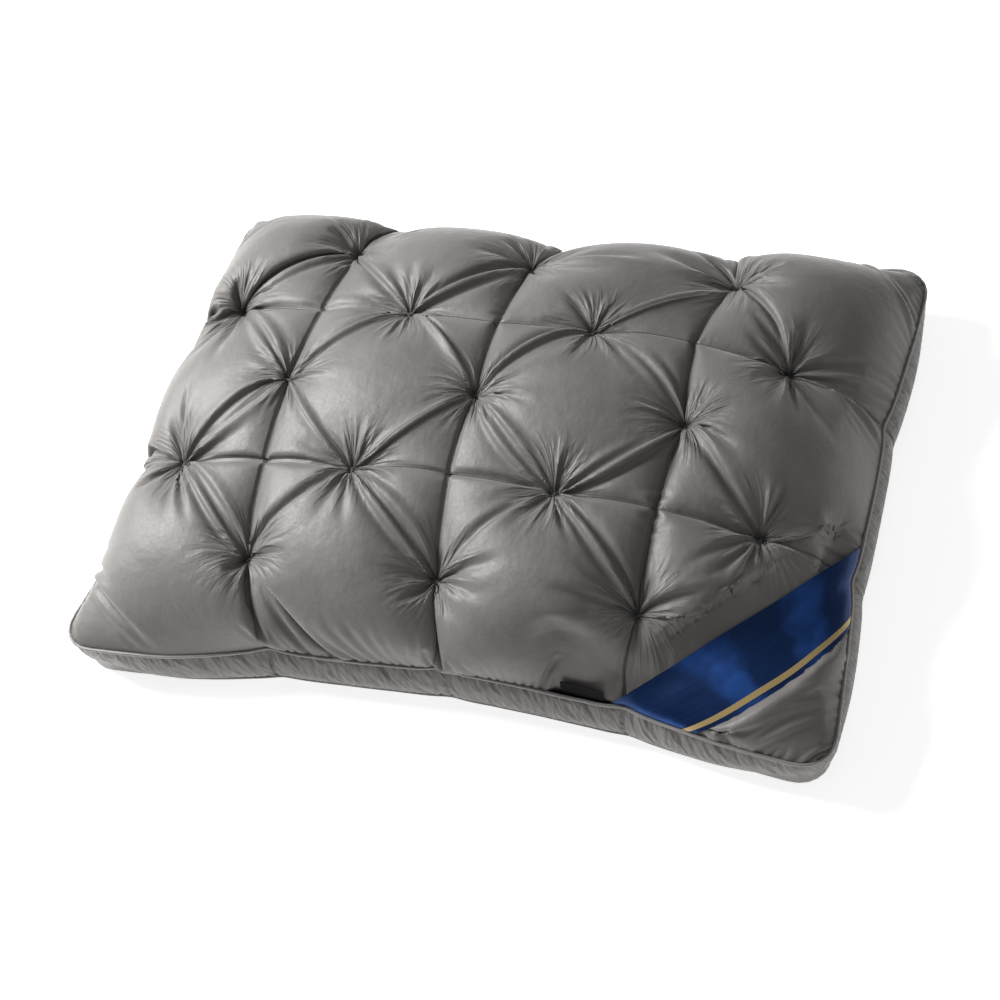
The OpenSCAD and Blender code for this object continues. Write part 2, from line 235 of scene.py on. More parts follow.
EDGE_SLOPE = 1.7
EDGE_REACH = 34
FILL_DEPTH = 4.0
CUSHION = 24.0
edge_line = np.concatenate([along_side(k, np.linspace(0, 1, 600))[0] for k in range(4)]).T
filling = Relief(np.array([*edge_line, np.full(edge_line.shape[1], upper_z)]), low_wins=True)
filling.spread(EDGE_REACH, EDGE_SLOPE)
grid_y, grid_x = np.indices(filling.z.shape) * GRID + filling.low[::-1, None, None]
tile_x = np.abs(np.sin(math.pi * np.interp(grid_x, SEAMS_X, np.arange(COLUMNS + 1))))
tile_y = np.abs(np.sin(math.pi * np.interp(grid_y, SEAMS_Y, np.arange(ROWS + 1))))
cushion = CUSHION * (tile_x * tile_y) ** 0.45
filling.z = np.minimum(filling.z, dome(grid_x, grid_y) + cushion) - FILL_DEPTH

# %% [markdown]
# ## A small cloth solver
# The cloth is a grid of points. Each step moves them on, pushes them out along the cloth's own face, and
# then draws every thread of the grid back to its cut length, so spare cloth has to fold. It is written
# here because a tufted panel needs the gathers at its ties, which a plain cloth modifier doesn't make.

# %% Solver
class Cloth:
    """Grid of cloth points, shape (3, rows, columns), kept at its cut lengths."""

    def __init__(self, points, across, up, shear=0.5):
        self.points = points.astype(np.float32)
        self.before = self.points.copy()
        self.across = across.astype(np.float32)
        self.up = up.astype(np.float32)
        one = 0.5 * (self.across[1:] + self.across[:-1])
        two = 0.5 * (self.up[:, 1:] + self.up[:, :-1])
        self.diagonal = np.sqrt(one * one + two * two)
        self.across_two = self.across[:, 1:] + self.across[:, :-1]
        self.up_two = self.up[1:] + self.up[:-1]
        self.shear = shear

    def face(self):
        """Unit directions out of the cloth."""
        p = self.points
        du = np.empty_like(p)
        dv = np.empty_like(p)
        du[:, :, 1:-1] = p[:, :, 2:] - p[:, :, :-2]
        du[:, :, 0] = p[:, :, 1] - p[:, :, 0]
        du[:, :, -1] = p[:, :, -1] - p[:, :, -2]
        dv[:, 1:-1] = p[:, 2:] - p[:, :-2]
        dv[:, 0] = p[:, 1] - p[:, 0]
        dv[:, -1] = p[:, -1] - p[:, -2]
        n = np.cross(du, dv, axis=0)
        return n / (np.sqrt((n * n).sum(0)) + 1e-9)

    @staticmethod
    def draw(a, b, length, share):
        """Draws pairs of points towards their cut distance."""
        d = b - a
        size = np.sqrt(d[0] * d[0] + d[1] * d[1] + d[2] * d[2])
        d *= (0.5 * share) * (1 - length / size)
        a += d
        b -= d

    def pairs(self, step, length, share, axis):
        """Draws points that lie step apart along an axis, in passes that never share a point."""
        for o in range(2 * step):
            if axis == 1:
                a, b = self.points[:, o::2 * step], self.points[:, o + step::2 * step]
                n = min(a.shape[1], b.shape[1])
                self.draw(a[:, :n], b[:, :n], length[o::2 * step][:n], share)
            else:
                a, b = self.points[:, :, o::2 * step], self.points[:, :, o + step::2 * step]
                n = min(a.shape[2], b.shape[2])
                self.draw(a[:, :, :n], b[:, :, :n], length[:, o::2 * step][:, :n], share)

    def run(self, steps, push, bend, hold, keep=0.92):
        for k in range(steps):
            if k % 8 == 0:
                shove = self.face() * np.float32(push)
            speed = (self.points - self.before) * np.float32(keep)
            self.before[...] = self.points
            self.points += speed + shove
            self.pairs(1, self.across, 1.0, 2)
            self.pairs(1, self.up, 1.0, 1)
            p = self.points
            for o in (0, 1):
                for left, right in ((slice(None, -1), slice(1, None)), (slice(1, None), slice(None, -1))):
                    a, b = p[:, o:-1:2, left], p[:, o + 1::2, right]
                    n = min(a.shape[1], b.shape[1])
                    self.draw(a[:, :n], b[:, :n], self.diagonal[o::2][:n], self.shear)
            if bend > 0:
                self.pairs(2, self.across_two, bend, 2)
                self.pairs(2, self.up_two, bend, 1)
            hold(self, k)


def finer(points):
    """The same cloth with twice as many cells each way."""
    _, rows, columns = points.shape
    out = np.zeros((3, 2 * rows - 1, 2 * columns - 1), np.float32)
    out[:, ::2, ::2] = points
    out[:, 1::2, ::2] = 0.5 * (points[:, 1:] + points[:, :-1])
    out[:, :, 1::2] = 0.5 * (out[:, :, 2::2] + out[:, :, :-1:2])
    return out


# %% [markdown]
# ## The quilted top
# The face cloth is cut larger than the pillow: each tile gets the length of its arc over the dome and a
# little more. Near the edge the cut is eased down to the outline. Cloth within a hand's pinch of each
# tuft is bunched to a knot, and the sewn seams can't rise above their lines. Small folds are started
# round the tufts, so that the spare cloth gathers there as it does when a tuft is pulled tight.

# %% Cut and inflate the top
CELLS = (22, 20)
SPARE = 19.0
EDGE_EASE = 1.05
EDGE_DEPTH = 45.0
PINCH = 14.0
KNOT = 1.6
TUFT_DROP = 1.0
CROSS_SEAM_RISE = 2.0
LONG_SEAM_RISE = 6.5
FOLDS = {2: (9, 13, 17), 4: (15, 21, 26, 33)}
FOLD_DEPTH = 1.6
FOLD_REACH = 42.0


def arc_length(start, end):
    t = np.linspace(0, 1, 200)
    x = start[0] + (end[0] - start[0]) * t
    y = start[1] + (end[1] - start[1]) * t
    return np.sqrt(np.diff(x) ** 2 + np.diff(y) ** 2 + np.diff(dome(x, y)) ** 2).sum()


cut_x = np.array([arc_length((a, 0), (b, 0)) for a, b in zip(SEAMS_X, SEAMS_X[1:])]) + SPARE
cut_y = np.array([arc_length((0, a), (0, b)) for a, b in zip(SEAMS_Y, SEAMS_Y[1:])]) + SPARE
flat_l, flat_w = cut_x.sum(), cut_y.sum()


# the label stands against the cloth, which keeps behind it
hinge = frame["joints"][0]
pivot = np.array(hinge["pos_m"]) / MM
axis = np.array(hinge["axis"])
inward = np.array([-axis[1], axis[0], 0])
LABEL_W = 38.0
FLAP_LONG = 12.0
LEAN = math.radians(75)


def behind_label(p):
    """Eases cloth points inward of the leaning flap and of a slope above it."""
    x, y = p[0] - pivot[0], p[1] - pivot[1]
    along = np.abs(x * axis[0] + y * axis[1])
    depth = x * inward[0] + y * inward[1]
    climb = p[2] - pivot[2]
    need = 2.2 + np.clip(climb, -2, FLAP_LONG) / math.tan(LEAN) + np.clip(climb - FLAP_LONG, 0, 40) * 0.6
    beside = np.clip((along - LABEL_W / 2 - 3) / 30, 0, 1)
    need -= 22 * beside * beside * (3 - 2 * beside)
    short = np.where(beside < 1, np.clip(need - depth, 0, 6), 0) * 0.5
    p[0] += short * inward[0]
    p[1] += short * inward[1]


class Top:
    """The quilted top at one fineness, and what holds it."""

    def __init__(self, fine, points, noise):
        self.cu, self.cv = CELLS[0] * fine, CELLS[1] * fine
        step_x = np.repeat(cut_x / self.cu, self.cu)
        step_y = np.repeat(cut_y / self.cv, self.cv)
        u = np.r_[0, np.cumsum(step_x)] - flat_l / 2
        v = np.r_[0, np.cumsum(step_y)] - flat_w / 2
        from_long = np.minimum(v - v[0], v[-1] - v)
        from_end = np.minimum(u - u[0], u[-1] - u)
        ease_x = 1 - (1 - EDGE_EASE * 2 * half_l / flat_l) * np.exp(-(from_long / EDGE_DEPTH) ** 2)
        ease_y = 1 - (1 - EDGE_EASE * 2 * half_w / flat_w) * np.exp(-(from_end / EDGE_DEPTH) ** 2)
        if points is None:
            x = np.interp(u, np.r_[0, np.cumsum(cut_x)] - flat_l / 2, SEAMS_X)
            y = np.interp(v, np.r_[0, np.cumsum(cut_y)] - flat_w / 2, SEAMS_Y)
            x, y = np.meshgrid(x, y)
            points = np.stack([x, y, dome(x, y) + 8])
        points = points + noise.normal(0, 0.4 / fine, points.shape) * np.array([0, 0, 1])[:, None, None]
        if fine > 1:
            points = points + self.gathers(points, noise, fine) * np.array([0, 0, 1])[:, None, None]
        self.cloth = Cloth(points, ease_x[:, None] * step_x, ease_y * step_y[:, None])
        self.u, self.v = u, v
        self.edges = []
        for side, cells in ((0, len(u)), (1, len(v)), (2, len(u)), (3, len(v))):
            line, out = along_side(side, shares(side, cells - 1))
            near = np.exp(-(np.linalg.norm(line - pivot[:2], axis=1) / (0.72 * LABEL_W)) ** 6)
            line = line - out * (piping_r * 0.6 + 3.4 * near)[:, None]
            self.edges.append(np.c_[line, np.full(cells, upper_z + 0.5)].T.astype(np.float32))
        vary = np.random.default_rng(11)
        uu, vv = np.meshgrid(u, v)
        self.ties = []
        for (i, j), (x, y) in zip(tuft_cells, tuft_xy):
            u0, v0 = u[i * self.cu // 2], v[j * self.cv // 2]
            pinch = PINCH * (1 + vary.uniform(-0.2, 0.25))
            drop = TUFT_DROP + vary.uniform(-2, 3)
            inside = np.nonzero(np.hypot(uu - u0, vv - v0) <= pinch)
            goal = np.stack([x + (uu[inside] - u0) / pinch * KNOT, y + (vv[inside] - v0) / pinch * KNOT,
                             np.full(len(inside[0]), dome(x, y) - drop)]).astype(np.float32)
            self.ties.append((inside, goal))
        self.soft_start = 200 if fine == 1 else 1
        self.ceiling = None

    @staticmethod
    def gathers(points, noise, fine):
        """Small radial folds that fan out from every tuft."""
        made = np.zeros(points.shape[1:])
        for x, y in tuft_xy:
            away = np.hypot(points[0] - x, points[1] - y)
            turn = np.arctan2(points[1] - y, points[0] - x)
            fold = sum(noise.uniform(0.3, 1) * np.sin(n * turn + noise.uniform(0, 6)) for n in FOLDS[fine])
            made += FOLD_DEPTH / fine * fold * np.exp(-(away / FOLD_REACH) ** 2) * np.clip(away / 8, 0, 1)
        return made

    def pin(self, share):
        p = self.cloth.points
        p[:, 0, :], p[:, :, -1] = self.edges[0], self.edges[1]
        p[:, -1, ::-1], p[:, ::-1, 0] = self.edges[2], self.edges[3]
        for (rows, columns), goal in self.ties:
            now = p[:, rows, columns]
            p[:, rows, columns] = now + (goal - now) * share

    def hold(self, cloth, k):
        p = cloth.points
        for c in range(1, COLUMNS):
            q = p[:, :, c * self.cu]
            q[2] += np.minimum(dome(q[0], q[1]) + CROSS_SEAM_RISE - q[2], 0) * 0.5
        for r in range(1, ROWS):
            q = p[:, r * self.cv, :]
            q[2] += np.minimum(dome(q[0], q[1]) + LONG_SEAM_RISE - q[2], 0) * 0.5
        if k % 4 == 0:
            short = filling(p[0], p[1]) - p[2]
            p[2] += np.where(short > 0, short, 0) * 0.5
        if self.ceiling is not None:
            p[2] = np.minimum(p[2], self.ceiling(p[0], p[1]))
        if k % 2 == 0:
            behind_label(p)
        share = min(1.0, (k + 1) / self.soft_start)
        self.pin(0.3 * share if share < 1 else 1.0)


# fineness, steps, push of the filling and stiffness of each round
plan = ((1, 600, 0.02, 0.1), (2, 600, 0.010, 0.06), (4, 500, 0.004, 0.03))
noise = np.random.default_rng(7)
points = None
for fine, steps, push, bend in plan:
    top = Top(fine, points, noise)
    top.cloth.run(steps, push, bend, top.hold)
    points = finer(top.cloth.points)
print("top cloth", top.cloth.points.shape, "highest", np.round(top.cloth.points[2].max(), 1))

# %% [markdown]
# ## The corner ribbon
# A satin ribbon crosses one corner and both its ends are caught in the piped seams. It is drawn tight,
# so it lies as one even arch over the corner and presses the tiles down. The cloth is then run on for
# a while below it, which makes the small gathers beside its edges.

# %% Lay the ribbon
front_line, _ = along_side(0, np.linspace(0, 1, 400))
right_line, _ = along_side(1, np.linspace(0, 1, 400))
RIBBON_W = 58.0
STRIPE_FROM, STRIPE_W = 49.5, 4.6
# the inner and outer edge: where each meets the front and the right seam, its bow, and its arch
FRONT_ENDS = (157.0, 228.0)
RIGHT_ENDS = (-45.5, -120.5)
BOW = (18.5, 21.5)
ARCH = (36.0, 21.0)
ARCH_POWER = 0.6
RIBBON_LIFT = 0.7
RIBBON_WAVE = 0.8
ALONG, ACROSS = 120, 29
offsets = np.linspace(0, RIBBON_W, ACROSS + 1)
over = (offsets / RIBBON_W)[:, None]
t = np.linspace(0, 1, ALONG + 1)
at_front = FRONT_ENDS[0] + (FRONT_ENDS[1] - FRONT_ENDS[0]) * over
at_right = RIGHT_ENDS[0] + (RIGHT_ENDS[1] - RIGHT_ENDS[0]) * over
start = np.stack([at_front, np.interp(at_front, *front_line.T) + 1])
end = np.stack([np.interp(at_right, right_line[:, 1], right_line[:, 0]) - 1, at_right])
lay = end - start
out_way = np.stack([lay[1], -lay[0]]) / np.hypot(*lay)
swell = (4 * t * (1 - t)) ** ARCH_POWER
plan_xy = np.moveaxis(start + lay * t + out_way * (BOW[0] + (BOW[1] - BOW[0]) * over) * swell, 0, -1)
height = upper_z + 1.2 + (ARCH[0] + (ARCH[1] - ARCH[0]) * over) * swell
height += RIBBON_WAVE * np.sin(2 * math.pi * (2.4 * t + 0.3) + 0.8 * over) * swell
ribbon_points = np.stack([plan_xy[..., 0], plan_xy[..., 1], height])
cut = np.sqrt((np.diff(ribbon_points, axis=2) ** 2).sum(0))
ribbon = Cloth(ribbon_points, cut, np.sqrt((np.diff(ribbon_points, axis=1) ** 2).sum(0)))
print("ribbon", np.round(cut.sum(1).mean()), "mm cut, lies up to", np.round(ribbon.points[2].max()), "mm")

# the cloth goes on settling below the ribbon, pressed down along a slope beside it
PRESS_REACH, PRESS_SLOPE = 9, 0.9
p = ribbon.points
dense = np.concatenate([p[:, :-1, :-1] * (1 - a) * (1 - b) + p[:, 1:, :-1] * a * (1 - b)
                        + p[:, :-1, 1:] * (1 - a) * b + p[:, 1:, 1:] * a * b
                        for a in (0, 0.5) for b in (0, 0.5)], axis=1)
top.ceiling = Relief(dense - np.array([0, 0, RIBBON_LIFT])[:, None, None], low_wins=True)
top.ceiling.spread(PRESS_REACH, PRESS_SLOPE)
top.cloth.run(160, plan[-1][2], 0.08, top.hold)


def iron(cloth, centre, reach, times):
    """Smooths the cloth round one place, as a hand would, and keeps it off the label."""
    p = cloth.points
    share = 0.6 * np.exp(-(np.hypot(p[0] - centre[0], p[1] - centre[1]) / reach) ** 4)[1:-1, 1:-1]
    for k in range(times):
        around = p[:, :-2, 1:-1] + p[:, 2:, 1:-1] + p[:, 1:-1, :-2] + p[:, 1:-1, 2:]
        p[:, 1:-1, 1:-1] += share * (0.25 * around - p[:, 1:-1, 1:-1])
        if k % 5 == 4:
            behind_label(p)


BESIDE_LABEL = (pivot[0] + 24, pivot[1] + 10)
iron(top.cloth, BESIDE_LABEL, 34, 60)

# %% [markdown]
# ## Building pieces from points
# The pieces' names are the maker's names. All of them ride on the pillow, but for the label's flap.

# %% Piece helpers
def piece(name, points, faces, uv=None, body="pillow"):
    """A smooth mesh piece from millimetre points, riding on a body."""
    mesh = bpy.data.meshes.new(name)
    mesh.from_pydata((np.asarray(points, float) * MM).tolist(), [], faces)
    mesh.validate()
    mesh.shade_smooth()
    if uv is not None:
        layer = mesh.uv_layers.new(name="Cloth")
        loops = np.zeros(len(mesh.loops), int)
        mesh.loops.foreach_get("vertex_index", loops)
        layer.data.foreach_set("uv", (np.asarray(uv, float)[loops] * MM).ravel())
    made = bpy.data.objects.new(name, mesh)
    scene.collection.objects.link(made)
    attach(made, body)
    return made


def grid_faces(rows, columns, wrap=False):
    """Quads of a grid of points numbered row by row, wrapping round its columns if asked."""
    j, i = np.meshgrid(np.arange(rows - 1), np.arange(columns if wrap else columns - 1), indexing="ij")
    after = (i + 1) % columns
    quads = np.stack([j * columns + i, j * columns + after, (j + 1) * columns + after, (j + 1) * columns + i])
    return quads.reshape(4, -1).T


def flat_points(grid):
    return grid.reshape(3, -1).T


def tubes(name, lines, radius, around=6, closed=False, turn=None):
    """Round threads or cords along lines of points, as one piece."""
    points, faces, uv, first = [], [], [], 0
    angles = np.arange(around) * 2 * math.pi / around
    for line in lines:
        line = np.asarray(line, float)
        ahead = np.roll(line, -1, 0) - np.roll(line, 1, 0) if closed else np.gradient(line, axis=0)
        ahead /= np.linalg.norm(ahead, axis=1)[:, None]
        side = np.cross(ahead, [0, 0, 1.0])
        side /= np.linalg.norm(side, axis=1)[:, None] + 1e-9
        rise = np.cross(side, ahead)
        ring = (np.cos(angles)[:, None, None] * side + np.sin(angles)[:, None, None] * rise) * radius
        points.append((line + ring).reshape(-1, 3))
        n = len(line)
        faces.append(first + grid_faces(around + 1, n, closed) % (around * n))
        run = np.r_[0, np.cumsum(np.linalg.norm(np.diff(line, axis=0), axis=1))]
        uv.append(np.stack(np.broadcast_arrays(run, angles[:, None] * radius), -1).reshape(-1, 2))
        first += around * n
    return piece(name, np.concatenate(points), np.concatenate(faces)[:, ::-1].tolist(), np.concatenate(uv))

# %% [markdown]
# ### Quilted top and its filling
# The face cloth, its lining, the twelve tile fillings and the core are one padded piece: the face is the
# simulated cloth, and its turned edges and base close it inside the box.

# %% Quilted top
face = top.cloth.points.astype(float)
_, n_rows, n_columns = face.shape
points = list(flat_points(face))
uu, vv = np.meshgrid(top.u, top.v)
uv = list(np.stack([uu, vv], -1).reshape(-1, 2))
faces = [grid_faces(n_rows, n_columns)]
number = np.arange(n_rows * n_columns).reshape(n_rows, n_columns)
rim = np.concatenate([number[0, :-1], number[:-1, -1], number[-1, :0:-1], number[:0:-1, 0]])
edge = np.array(points)[rim]
rings = [rim]
for inset, z in ((2.0, upper_z - 1.5), (8.0, upper_z - 4.0), (5.0, upper_z - 20), (6.0, lower_z + 4)):
    ring = edge.copy()
    ring[:, :2] *= 1 - inset / np.linalg.norm(ring[:, :2], axis=1)[:, None]
    ring[:, 2] = z
    rings.append(np.arange(len(points), len(points) + len(ring)))
    points += list(ring)
    uv += list(ring[:, :2])
for above, below in zip(rings, rings[1:]):
    faces.append(np.stack([above, below, np.roll(below, -1), np.roll(above, -1)], -1))
middle = len(points)
points.append(np.array([0, 0, lower_z + 4]))
uv.append(np.zeros(2))
last = rings[-1]
fan = np.stack([last, np.full(len(last), middle), np.roll(last, -1)], -1)
top_uv = np.array(uv)
quilted_top = piece("quilted_top", points, [f for block in (*faces, fan) for f in block.tolist()], uv)
TILES = [f"tile_fill_{r}_{c}" for r in range(1, ROWS + 1) for c in range(1, COLUMNS + 1)]
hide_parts("top_panel", "quilt_lining", "core_fill", *TILES)
print("quilted top", len(quilted_top.data.vertices), "points, cut", np.round(flat_l), "x", np.round(flat_w))

# %% [markdown]
# ### Side band
# The band is a long strip a little longer than the seams it is sewn between, closed by a short seam at
# the back left corner. The filling pushes it out and the spare length turns into puckers. It starts
# from a few waves of different lengths round the pillow, so no two puckers are alike.

# %% Side band
BAND_COLUMNS, BAND_ROWS = 960, 16
BAND_EASE = 1.045
BAND_HIGH = 1.05
BAND_SWELL = 3.0
PUCKER_WAVES = (61, 83, 97, 121, 148)


def band_edge(columns, z, tugged):
    """The band's sewn edge, starting at its joining seam at the back left corner."""
    line, out = whole_line(columns, tugged)
    line = np.roll(line - out * 1.3, -columns * 3 // 4, 0)
    line = np.concatenate([line, line[:1]])
    return np.c_[line, np.full(len(line), z)].T.astype(np.float32)


def band_ends(columns):
    return band_edge(columns, lower_z + 1.0, LOWER_TUG), band_edge(columns, upper_z - 1.0, 1.0)


def band_cloth(columns, rows, points):
    """The band's cloth, with what holds it: both sewn edges, its joining seam and the floor."""
    low, high = band_ends(columns)
    t = np.linspace(0, 1, rows + 1)[:, None]
    if points is None:
        points = low[:, None, :] * (1 - t) + high[:, None, :] * t
        _, out = whole_line(columns)
        out = np.roll(out, -columns * 3 // 4, 0)
        out = np.concatenate([out, out[:1]]).T
        pleat = np.random.default_rng(21)
        turn = np.arange(columns + 1) * 2 * math.pi / columns
        puckers = sum(pleat.uniform(0.5, 1.3) * np.sin(n * turn + pleat.uniform(0, 6))
                      for n in PUCKER_WAVES)
        points[:2] += out[:, None, :] * (BAND_SWELL + puckers) * np.sin(math.pi * t) ** 0.7
    gap = np.sqrt((np.diff(high, axis=1) ** 2).sum(0))
    tall = (upper_z - lower_z - 2.0) * BAND_HIGH / rows
    cloth = Cloth(points, np.tile(gap * BAND_EASE, (rows + 1, 1)), np.full((rows, columns + 1), tall))

    def hold(cloth, k):
        p = cloth.points
        p[:, 0], p[:, -1] = low, high
        seam = 0.5 * (p[:, :, 0] + p[:, :, -1])
        p[:, :, 0] = p[:, :, -1] = seam
        p[2] = np.clip(p[2], 0.6, upper_z - 0.5)

    return cloth, hold


band, hold = band_cloth(BAND_COLUMNS, BAND_ROWS, None)
band.run(300, 0.012, 0.10, hold)
band, hold = band_cloth(2 * BAND_COLUMNS, 2 * BAND_ROWS, finer(band.points))
band.run(160, 0.004, 0.08, hold)
_, b_rows, b_columns = band.points.shape
run = np.r_[0, np.cumsum(band.across[0])]
high_up = np.r_[0, np.cumsum(band.up[:, 0])]
uv = np.stack(np.meshgrid(run, high_up), -1).reshape(-1, 2)
side_band = piece("side_band", flat_points(band.points), grid_faces(b_rows, b_columns).tolist(), uv)
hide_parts("gusset_band")
print("side band cut", np.round(run[-1]), "mm long")

# %% [markdown]
# ### Piping
# Each edge is finished with a silver grey bias strip folded round a cotton cord. The strip's twill
# runs at a slant. The cord shows only inside the strip, but it is there.

# %% Piping
PIPING_POINTS = 1440
wave = np.random.default_rng(3)
turns = np.arange(PIPING_POINTS) * 2 * math.pi / PIPING_POINTS
wander = sum(a * np.sin(n * turns + f) for n, a, f in zip((9, 14, 23, 37), (0.5, 0.4, 0.3, 0.2),
                                                         wave.uniform(0, 6, 4)))
for edge_name, z, share, tugged in (("upper", upper_z, 1.0, 1.0), ("lower", lower_z, 0.15, LOWER_TUG)):
    path = np.c_[whole_line(PIPING_POINTS, tugged)[0], z + wander * share]
    where = "top" if edge_name == "upper" else "bottom"
    cover = tubes(edge_name + "_piping", [path], piping_r, 10, closed=True)
    core = tubes(edge_name + "_piping_cord", [path], piping_r * 0.68, 6, closed=True)
    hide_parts(where + "_piping_cover")
    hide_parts(where + "_piping_cord")

# %% [markdown]
# ### Base panel
# The underside is one plain panel. It lies flat, and turns up to the lower piping at its edge.

# %% Base panel
CLOTH_DOWN = 0.25
line, out = whole_line(720, LOWER_TUG)
line = line - out * 1.2
scale = np.array([0.0005, 0.2, 0.4, 0.6, 0.75, 0.86, 0.93, 0.965, 0.985, 1.0])
rise = np.array([0, 0, 0, 0, 0, 0, 0.25, 0.4, 0.9, 1.0]) * (lower_z - 0.5)
rise[:6] = CLOTH_DOWN
rings = [np.c_[line * s, np.full(len(line), z)] for s, z in zip(scale, rise)]
base = np.concatenate(rings)
base_panel = piece("base_panel", base, grid_faces(len(scale), len(line), wrap=True).tolist(), base[:, :2])
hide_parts("bottom_panel")

# %% [markdown]
# ### Ribbon and stripe
# The stripe is woven into the ribbon near its outer edge, so it follows the ribbon's own surface.

# %% Ribbon
r_points = ribbon.points.astype(float)
run = np.linspace(0, cut.sum(1).mean(), ALONG + 1)
uv = np.stack(np.meshgrid(run, offsets), -1).reshape(-1, 2)
corner_ribbon = piece("corner_ribbon", flat_points(r_points),
                      grid_faces(ACROSS + 1, ALONG + 1)[:, ::-1].tolist(), uv)
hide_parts("ribbon_band")
lift = ribbon.face()
lift *= np.sign(lift[2].mean())
STRIPE_ROWS = 5
STRIPE_RAISED = 0.35
stripe_at = np.linspace(STRIPE_FROM, STRIPE_FROM + STRIPE_W, STRIPE_ROWS) / RIBBON_W * ACROSS
whole = stripe_at.astype(int)
part = (stripe_at - whole)[None, :, None]
raised = r_points + lift * STRIPE_RAISED
stripe = raised[:, whole] * (1 - part) + raised[:, whole + 1] * part
uv = np.stack(np.meshgrid(run, stripe_at), -1).reshape(-1, 2)
gold_stripe = piece("gold_stripe", flat_points(stripe),
                    grid_faces(STRIPE_ROWS, ALONG + 1)[:, ::-1].tolist(), uv)
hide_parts("ribbon_stripe")

# %% [markdown]
# ### Side label
# A folded woven tape: its two ends go down into the seam and its folded end stands free. The free flap
# turns about the crease just above the seam.

# %% Label
TAPE = 0.28


def tape(name, path, body):
    """A strip of tape as wide as the label, along a path of (inwards, up) points."""
    wide = np.linspace(-0.5, 0.5, 20) * LABEL_W
    path = np.asarray(path, float)
    bow = 0.5 * np.cos(wide / LABEL_W * 2 * math.pi * 0.9 + 0.6)
    lift = np.clip(path[:, 1] / FLAP_LONG, 0, 1)
    points = (pivot + wide[:, None, None] * axis
              + (path[:, 0] + lift * bow[:, None])[..., None] * inward
              + path[:, 1][None, :, None] * np.array([0, 0, 1.0]))
    n, m, _ = points.shape
    uv = np.stack(np.meshgrid(np.arange(m) * 1.0, wide), -1).reshape(-1, 2)
    return piece(name, points.reshape(-1, 3), grid_faces(n, m).tolist(), uv, body)


lean = np.array([math.cos(LEAN), math.sin(LEAN)])
off = np.array([-lean[1], lean[0]])
climb = np.linspace(0.0, FLAP_LONG - 0.5, 14)
turn = np.linspace(-math.pi / 2, math.pi / 2, 7)[1:-1]
bend = 0.05 * (climb / FLAP_LONG) ** 2 * FLAP_LONG
front = climb[:, None] * lean + (-TAPE + bend)[:, None] * off
back = climb[::-1, None] * lean + (TAPE + bend[::-1])[:, None] * off
fold = (climb[-1] + TAPE * np.cos(turn))[:, None] * lean + (bend[-1] + TAPE * np.sin(turn))[:, None] * off
label_flap = tape("label_flap", np.concatenate([front, fold, back]), "label")
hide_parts("side_label")
foot_down = upper_z - pivot[2]
foot = [(5.5, foot_down + 0.3), (1.0, foot_down + 0.3), (-0.1, foot_down + 0.5), (-TAPE, -1.5),
        (-TAPE, -0.55), (TAPE, -0.55), (TAPE, -1.5),
        (0.6, foot_down + 0.9), (1.2, foot_down + 0.8), (5.5, foot_down + 0.8)]
label_foot = tape("label_foot", foot, "pillow")
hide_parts("label_root")

# %% [markdown]
# ### Thread
# Every seam is a row of small lockstitches, and every tuft is closed with a short bar of thread.

# %% Stitches
STITCH = 2.6
THREAD_R = 0.35


def stitches(line):
    """Splits a line of points into small arched stitches with gaps between them."""
    run = np.r_[0, np.cumsum(np.linalg.norm(np.diff(line, axis=0), axis=1))]
    arch = np.array([-0.1, 0.25, 0.35, 0.25, -0.1])
    made = []
    for begin in np.arange(6, run[-1] - 6, STITCH):
        t = begin + np.linspace(0, 1, len(arch)) * STITCH * 0.78
        spot = np.stack([np.interp(t, run, line[:, k]) for k in range(3)], -1)
        spot[:, 2] += arch
        made.append(spot)
    return made


for c in range(1, COLUMNS):
    seam = face[:, :, c * top.cu].T
    row = tubes(f"cross_stitches_{c}", stitches(seam), THREAD_R, 5)
    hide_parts(f"quilting_thread_v{c}")
for r in range(1, ROWS):
    seam = face[:, r * top.cv, :].T
    row = tubes(f"lengthwise_stitches_{r}", stitches(seam), THREAD_R, 5)
    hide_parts(f"quilting_thread_h{r}")
bars = []
vary = np.random.default_rng(17)
for (i, j), (x, y) in zip(tuft_cells, tuft_xy):
    centre = face[:, j * top.cv // 2, i * top.cu // 2]
    way = vary.uniform(-0.5, 0.5) + (0 if i % 2 == 0 else math.pi / 2)
    for k in (-1, 0, 1):
        t = np.linspace(-1, 1, 9)
        half = 3.4 + vary.uniform(-0.5, 0.5)
        swerve = k * 0.55 + 0.15 * np.sin(3 * t + k)
        flat = np.stack([t * half * math.cos(way) - swerve * math.sin(way),
                         t * half * math.sin(way) + swerve * math.cos(way)], -1)
        bars.append(np.c_[centre[:2] + flat, centre[2] + 0.9 - 0.5 * t ** 2 + 0.4 * np.abs(t)])
tuft_ties = tubes("tuft_ties", bars, 0.42, 6)
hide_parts("tufting_ties")
for where, z in (("upper", upper_z - 2.6), ("lower", lower_z + 2.6)):
    line, out = whole_line(1440, 1.0 if where == "upper" else LOWER_TUG)
    line = np.c_[line - out * 5.5, np.full(len(line), z)]
    ring = tubes(where + "_seam_stitches", stitches(line), THREAD_R, 4)
    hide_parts(("top" if where == "upper" else "bottom") + "_seam_thread")

# %% [markdown]
# ### Cut sizes
# The band's cut height and length and the area inside the lower seam's stitch line are worked out here;
# nothing uses them.

(upper_z - lower_z) * BAND_HIGH * MM
band.across[0].sum() * MM
after = np.roll(line, -1, 0)
area = 0.5 * abs((line[:, 0] * after[:, 1] - after[:, 0] * line[:, 1]).sum()) * MM * MM

# %% [markdown]
# ## Finishes
# Each finish is worked out as arithmetic on shader sockets. A small class lets a socket be added,
# multiplied and mixed like a number.

